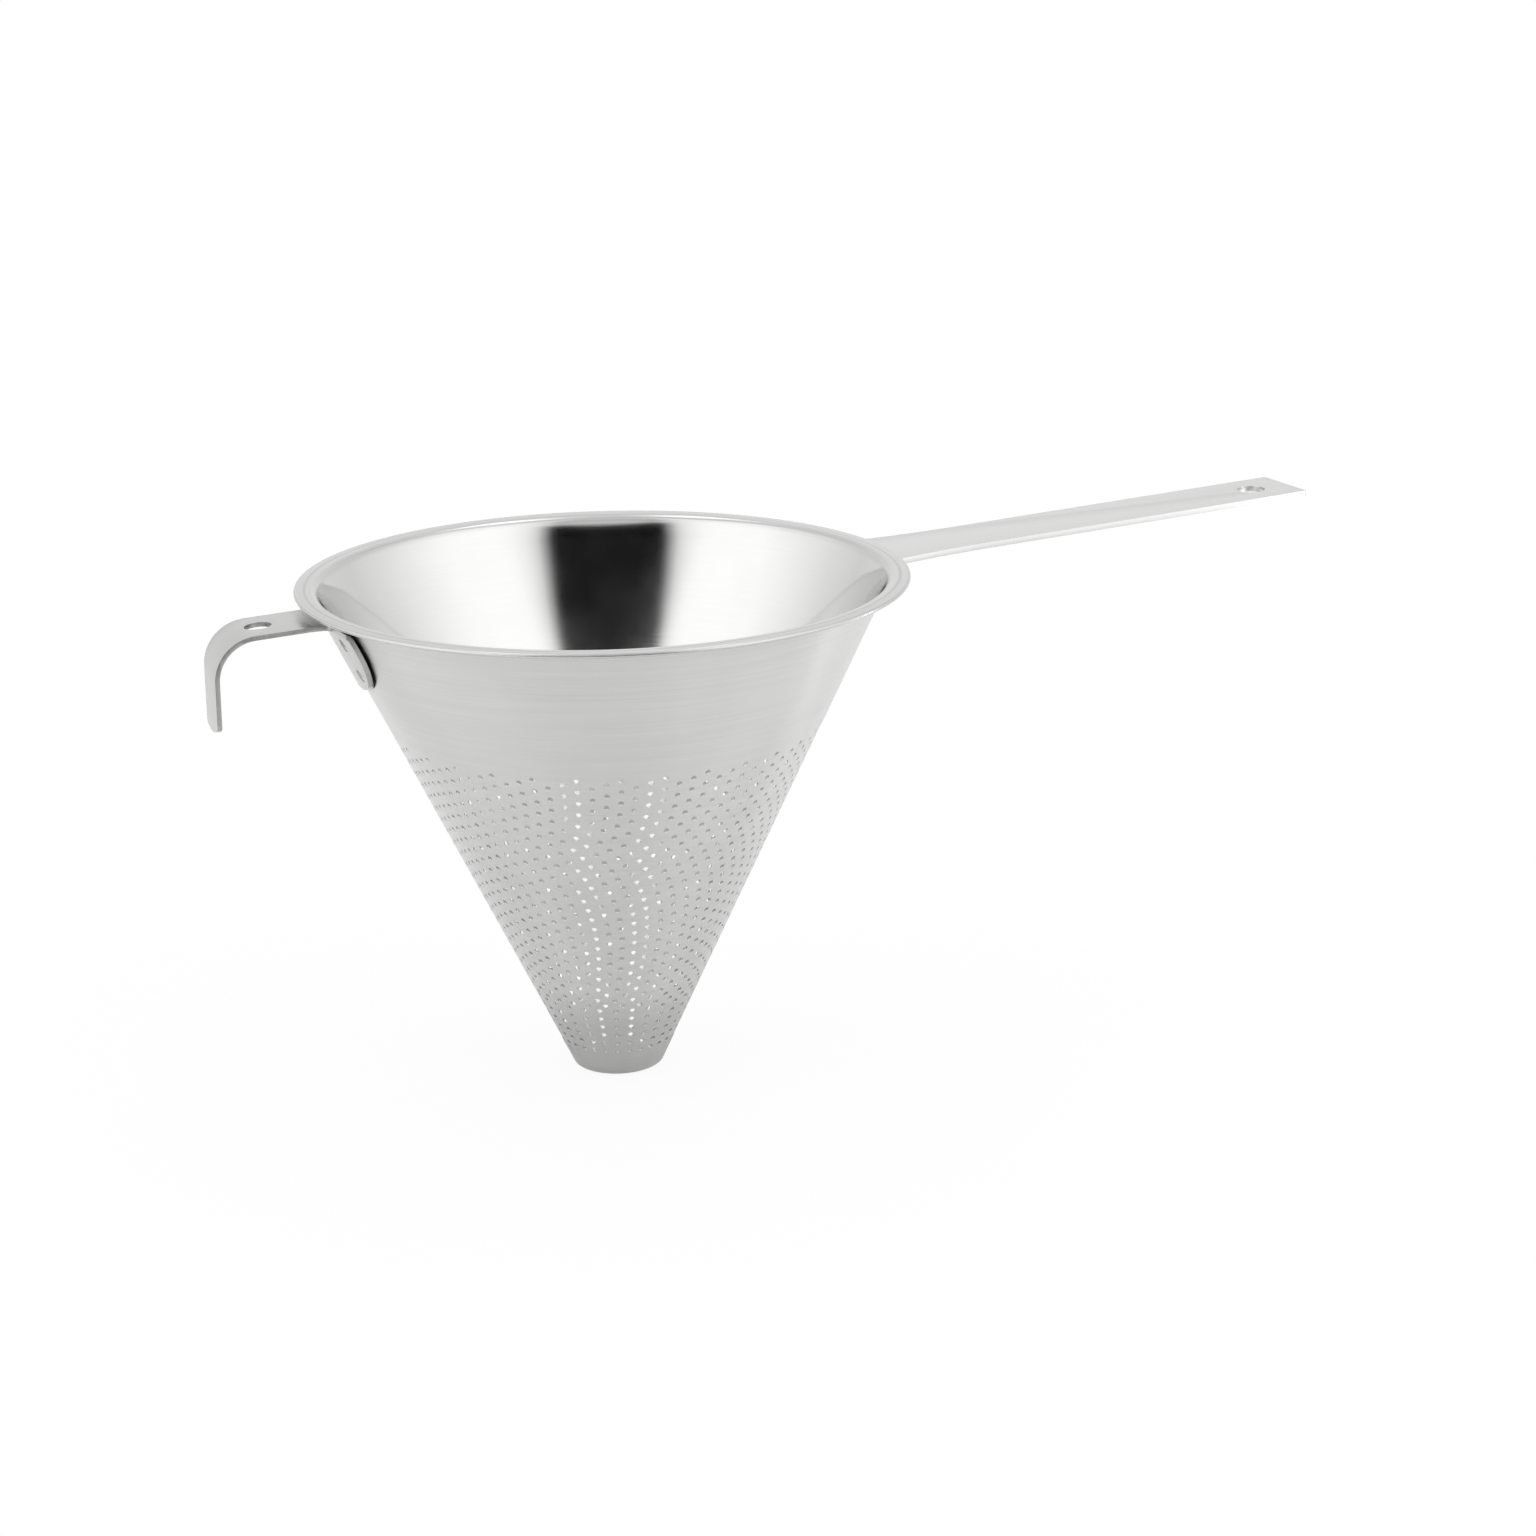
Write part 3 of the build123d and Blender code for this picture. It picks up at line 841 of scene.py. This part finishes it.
def sheared_faces(mesh, sheet, across):
    """Faces on a strap's sheared edges: thick behind, or turned across the strap."""
    points = [vertex.co for vertex in mesh.vertices]
    tree = BVHTree.FromPolygons(points, [face.vertices for face in mesh.polygons])
    mesh.calc_loop_triangles()
    largest = {}
    for triangle in mesh.loop_triangles:
        known = largest.get(triangle.polygon_index)
        if known is None or triangle.area > known.area:
            largest[triangle.polygon_index] = triangle
    for number, triangle in largest.items():
        face = mesh.polygons[number]
        start = triangle.center - face.normal * SAME_PLACE
        _, _, _, behind = tree.ray_cast(start, -face.normal)
        thick = behind is None or behind > sheet * SHEARED_DEPTH
        if thick or abs(face.normal.dot(across)) > SHEARED_ACROSS:
            yield face


def softened(node, name, width):
    """A copy of a strap's solid with its edges softened."""
    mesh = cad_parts[node].data.copy()
    mesh.name = name
    piece = new_piece(name, mesh)
    bpy.ops.mesh.customdata_custom_splitnormals_clear()
    with edit_mode():
        bpy.ops.mesh.remove_doubles(threshold=SAME_CORNER)
        bpy.ops.mesh.dissolve_limited(angle_limit=STRAP_FLAT)
    apply(piece, "BEVEL", width=width, segments=CORNER_STEPS, limit_method="ANGLE",
          angle_limit=STRAP_CORNER, harden_normals=False, use_clamp_overlap=True)
    bpy.ops.object.shade_smooth_by_angle(angle=STRAP_CREASE)
    piece.data.materials.clear()
    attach(piece, BODY)
    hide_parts(node)
    return piece


class STRAINER_OT_handle(bpy.types.Operator):
    """Make the handle's strap with softened edges and brushed steel"""

    bl_idname = "strainer.handle"
    bl_label = "Handle"

    def execute(self, context):
        scene = context.scene
        straps = scene.strap_sizes
        handle = softened("handle_strap", "brushed_handle", straps.handle_edge)
        handle.data.materials.append(strap_steel(
            scene, "handle steel", scene.steel_looks.handle_colour, 0.0,
            straps.handle_weld_side))
        return {"FINISHED"}


class STRAINER_OT_hook(bpy.types.Operator):
    """Make the rest hook with softened edges, brushed faces and sheared sides"""

    bl_idname = "strainer.hook"
    bl_label = "Rest hook"

    def execute(self, context):
        scene = context.scene
        straps = scene.strap_sizes
        hook = softened("rest_hook", "brushed_hook", straps.hook_edge)
        hook.data.materials.append(strap_steel(
            scene, "hook steel", scene.steel_looks.hook_colour, straps.hook_off_line,
            straps.hook_weld_side))
        hook.data.materials.append(sheared_steel(scene))
        across = Vector((sin(straps.hook_off_line), cos(straps.hook_off_line), 0))
        for face in sheared_faces(hook.data, straps.hook_sheet, across):
            face.material_index = 1
        return {"FINISHED"}


class STRAINER_OT_welds(bpy.types.Operator):
    """Give the spot welds their dull fused metal"""

    bl_idname = "strainer.welds"
    bl_label = "Spot welds"

    def execute(self, context):
        steel = weld_steel(context.scene.steel_looks)
        for node in ("handle_spot_welds", "hook_spot_welds"):
            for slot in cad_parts[node].material_slots:
                slot.material = steel
        return {"FINISHED"}


def floor_paint(looks):
    """Matt white of the floor, which shows as the white background with a faint shadow."""
    material, place = new_tree("floor paint")
    tone = varied(1, (noise(place, FLOOR_CLOUD),), FLOOR_TONE)
    base = tinted(looks.floor_colour, tone)
    matt = place.node("ShaderNodeBsdfDiffuse", inputs={"Color": base})
    white = place.node("ShaderNodeEmission", inputs={"Color": WHITE, "Strength": 1.0})
    camera, mirrored, clear = (
        place.node("ShaderNodeLightPath", ray)
        for ray in ("Is Camera Ray", "Is Glossy Ray", "Is Transmission Ray"))
    shown = (camera + clear) * looks.floor_clear + mirrored * looks.floor_mirrored
    paint = place.node("ShaderNodeMixShader", inputs={0: shown, 1: matt, 2: white})
    paint.node("ShaderNodeOutputMaterial", inputs={"Surface": paint})
    return material


def level_round(around, stops):
    """The level that a table gives for a share of a half turn."""
    return around.node("ShaderNodeValToRGB", inputs={"Fac": around},
                       stops=[(degrees / HALF_TURN, level) for degrees, level in stops])


def softboxes(looks, ahead, aside, rise):
    """Light of the two softboxes, with the dark gaps between them."""
    around = (aside.math("ARCTAN2", ahead) - looks.gap_aside).absolute() / pi
    off_gap = ((rise - looks.gap_rise).absolute() / looks.gap_reach) ** GAP_SQUARE
    foot_gap = rise.fade(*GAP_FOOT)
    rounding = (off_gap ** GAP_CORNER).math("MINIMUM", 1.0) * (1 - foot_gap)
    edge = level_round(around * (1 + rounding * GAP_ROUNDING), SOFTBOX_EDGE)
    gapped = off_gap.fade(*GAP_END).math("MAXIMUM", foot_gap)
    filled = edge.math("MAXIMUM", BETWEEN_GAPS)
    level = edge * gapped + filled * (1 - gapped)
    return level * level_round(around, SOFTBOX_FALL) * looks.softbox_light


def ceiling(looks, ahead, aside, rise):
    """Light of the ceiling, with its two brighter panels."""
    off_middle = aside.absolute()
    panels = off_middle.smooth(*PANEL_NEAR) * off_middle.fade(*PANEL_FAR)
    panels = panels * rise.smooth(*PANEL_RISE) * ahead.fade(*PANEL_FRONT)
    return looks.ceiling_light + panels * (looks.overhead_light - looks.ceiling_light)


def room(looks, towards_camera):
    """White room with softboxes and a ceiling, which the camera itself sees as plain white."""
    world = bpy.data.worlds.new("white room")
    start = emptied(world)
    way = start.node("ShaderNodeTexCoord", "Generated")
    front = Vector((towards_camera.x, towards_camera.y, 0)).normalized()
    ahead = way.along(tuple(front))
    aside = way.along((-front.y, front.x, 0.0))
    rise = way.along((0.0, 0.0, 1.0)).math("ARCSINE")
    walls = softboxes(looks, ahead, aside, rise)
    high = rise.smooth(*CEILING_RISE)
    light = walls * (1 - high) + high * ceiling(looks, ahead, aside, rise) + looks.gap_light
    seen = start.node("ShaderNodeLightPath", "Is Camera Ray")
    lit = start.node("ShaderNodeBackground", inputs={
        "Color": WHITE, "Strength": light * (1 - seen) + seen})
    lit.node("ShaderNodeOutputWorld", inputs={"Surface": lit})
    bpy.context.scene.world = world


def strip_lamp(looks, towards_camera):
    """A tall lamp that stands on the floor right of the cone, out of the picture."""
    lamp = bpy.data.lights.new("strip lamp", "AREA")
    lamp.shape = "RECTANGLE"
    lamp.size = looks.strip_width
    lamp.size_y = looks.strip_height
    lamp.energy = LAMP_POWER * looks.strip_light * looks.strip_width * looks.strip_height
    around = atan2(towards_camera.y, towards_camera.x) + looks.strip_turn
    holder = linked("strip lamp", lamp)
    holder.location = (
        looks.strip_reach * cos(around), looks.strip_reach * sin(around), looks.strip_height / 2)
    holder.rotation_euler = (pi / 2, 0, around + pi / 2)
    holder.visible_camera = False


def stand_camera(looks, place, sight):
    """Stands the camera in its place, turned along its line of sight."""
    lens = bpy.data.cameras.new("camera")
    lens.lens = looks.camera_lens
    lens.clip_start = NEAREST_SEEN
    camera = linked("camera", lens)
    camera.location = place
    camera.rotation_mode = "QUATERNION"
    roll = Quaternion((0, 0, 1), looks.camera_roll)
    camera.rotation_quaternion = sight.to_track_quat("-Z", "Y") @ roll
    bpy.context.scene.camera = camera


class STRAINER_OT_stage(bpy.types.Operator):
    """Set the floor, the light and the camera"""

    bl_idname = "strainer.stage"
    bl_label = "Stage"

    def execute(self, context):
        looks = context.scene.stage_looks
        select_nothing()
        bpy.ops.mesh.primitive_plane_add(
            size=looks.floor_width, location=(0, 0, -looks.floor_drop))
        floor = context.object
        floor.name = "floor"
        floor.data.materials.append(floor_paint(looks))
        place = Vector(looks.camera_place)
        sight = Vector(looks.camera_aim) - place
        stand_camera(looks, place, sight)
        room(looks, -sight)
        strip_lamp(looks, -sight)
        context.scene.view_settings.view_transform = "Standard"
        return {"FINISHED"}


GROUPS = {
    "cone_sizes": ConeSizes,
    "perforation_sizes": PerforationSizes,
    "strap_sizes": StrapSizes,
    "steel_looks": SteelLooks,
    "stage_looks": StageLooks,
}
OPERATORS = (
    STRAINER_OT_cone, STRAINER_OT_handle, STRAINER_OT_hook, STRAINER_OT_welds,
    STRAINER_OT_stage)


class STRAINER_PT_panel(bpy.types.Panel):
    """Lists the pieces of the strainer and its sizes"""

    bl_idname = "STRAINER_PT_panel"
    bl_label = "Chinois strainer"
    bl_space_type = "VIEW_3D"
    bl_region_type = "UI"
    bl_category = "Strainer"

    def draw(self, context):
        for operator in OPERATORS:
            self.layout.operator(operator.bl_idname)
        for name, kind in GROUPS.items():
            box = self.layout.box()
            for size in kind.__annotations__:
                box.prop(getattr(context.scene, name), size)


def register():
    """Registers the groups of sizes, the operators and the panel."""
    for kind in (*GROUPS.values(), *OPERATORS, STRAINER_PT_panel):
        bpy.utils.register_class(kind)
    for name, kind in GROUPS.items():
        setattr(bpy.types.Scene, name, PointerProperty(type=kind))


def unregister():
    """Takes back what register did, in the opposite order."""
    for name in GROUPS:
        delattr(bpy.types.Scene, name)
    for kind in (STRAINER_PT_panel, *reversed(OPERATORS), *reversed(GROUPS.values())):
        bpy.utils.unregister_class(kind)


def main():
    """Makes every piece and the stage."""
    register()
    bpy.ops.strainer.cone()
    bpy.ops.strainer.handle()
    bpy.ops.strainer.hook()
    bpy.ops.strainer.welds()
    bpy.ops.strainer.stage()


if __name__ == "__main__":
    main()
